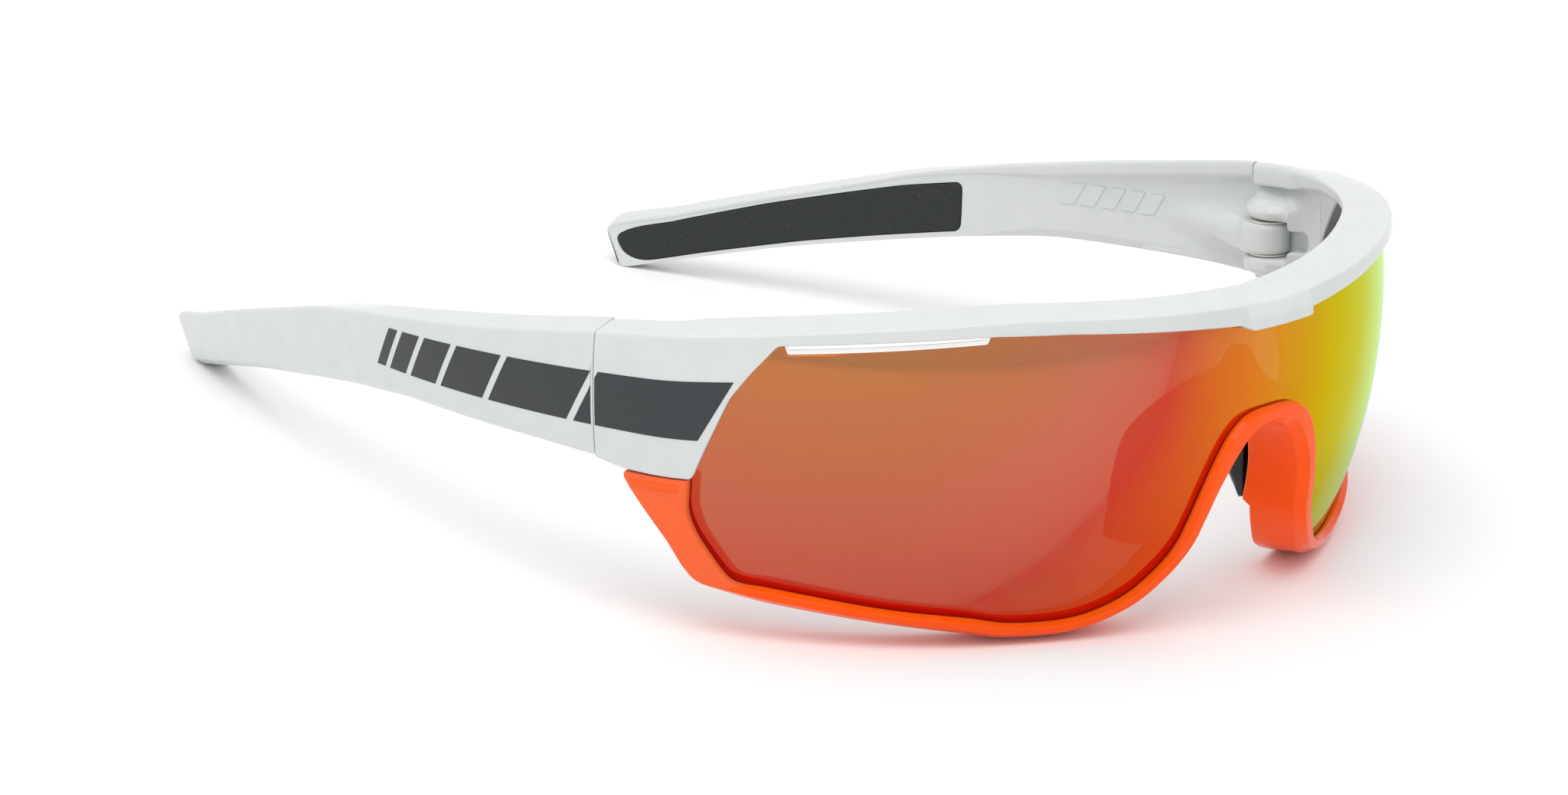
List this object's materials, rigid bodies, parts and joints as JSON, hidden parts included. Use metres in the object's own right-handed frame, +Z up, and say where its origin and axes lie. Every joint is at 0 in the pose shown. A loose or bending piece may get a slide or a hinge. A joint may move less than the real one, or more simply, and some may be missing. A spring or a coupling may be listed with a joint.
{
  "type": "wraparound sport sunglasses",
  "caption": "Wraparound sport sunglasses with a one-piece mirrored shield lens, browline top frame, snap-in lower rim, rubber nose saddle and two folding temples.",
  "frame": {"origin": "middle of the footprint of the open glasses, on the table they stand on", "axes": "+Z up, -Y the way the wearer looks, +X the wearer's left"},
  "size_m": [0.1392, 0.1558, 0.0434],
  "materials": {
    "white_plastic": "polished white nylon",
    "orange_plastic": "polished orange-red nylon",
    "mirror_lens": "orange-red mirror coat on a smoke polycarbonate shield",
    "black_rubber": "soft matt elastomer",
    "steel": "plain stainless steel",
    "brass": "machined",
    "nylon": "natural nylon"
  },
  "bodies": {
    "front": {"top_frame": "white_plastic", "lower_frame": "orange_plastic", "lens": "mirror_lens", "nose_piece": "black_rubber", "nose_wire": "steel", "right_hinge_screw": "steel", "left_hinge_screw": "steel", "right_hinge_insert": "brass", "left_hinge_insert": "brass", "right_hinge_washers": "nylon", "left_hinge_washers": "nylon"},
    "right_arm": {"right_temple": "white_plastic", "right_grip": "black_rubber", "right_hinge_sleeve": "steel"},
    "left_arm": {"left_temple": "white_plastic", "left_grip": "black_rubber", "left_hinge_sleeve": "steel"}
  },
  "joints": [
    {"name": "right_fold", "type": "hinge", "parent": "front", "child": "right_arm", "pos_m": [-0.0642, -0.02817, 0.02726], "axis": [0, -0.1035, -0.9946], "range_deg": [0, 74]},
    {"name": "left_fold", "type": "hinge", "parent": "front", "child": "left_arm", "pos_m": [0.0642, -0.02817, 0.02726], "axis": [0, 0.1035, 0.9946], "range_deg": [0, 88]}
  ]
}
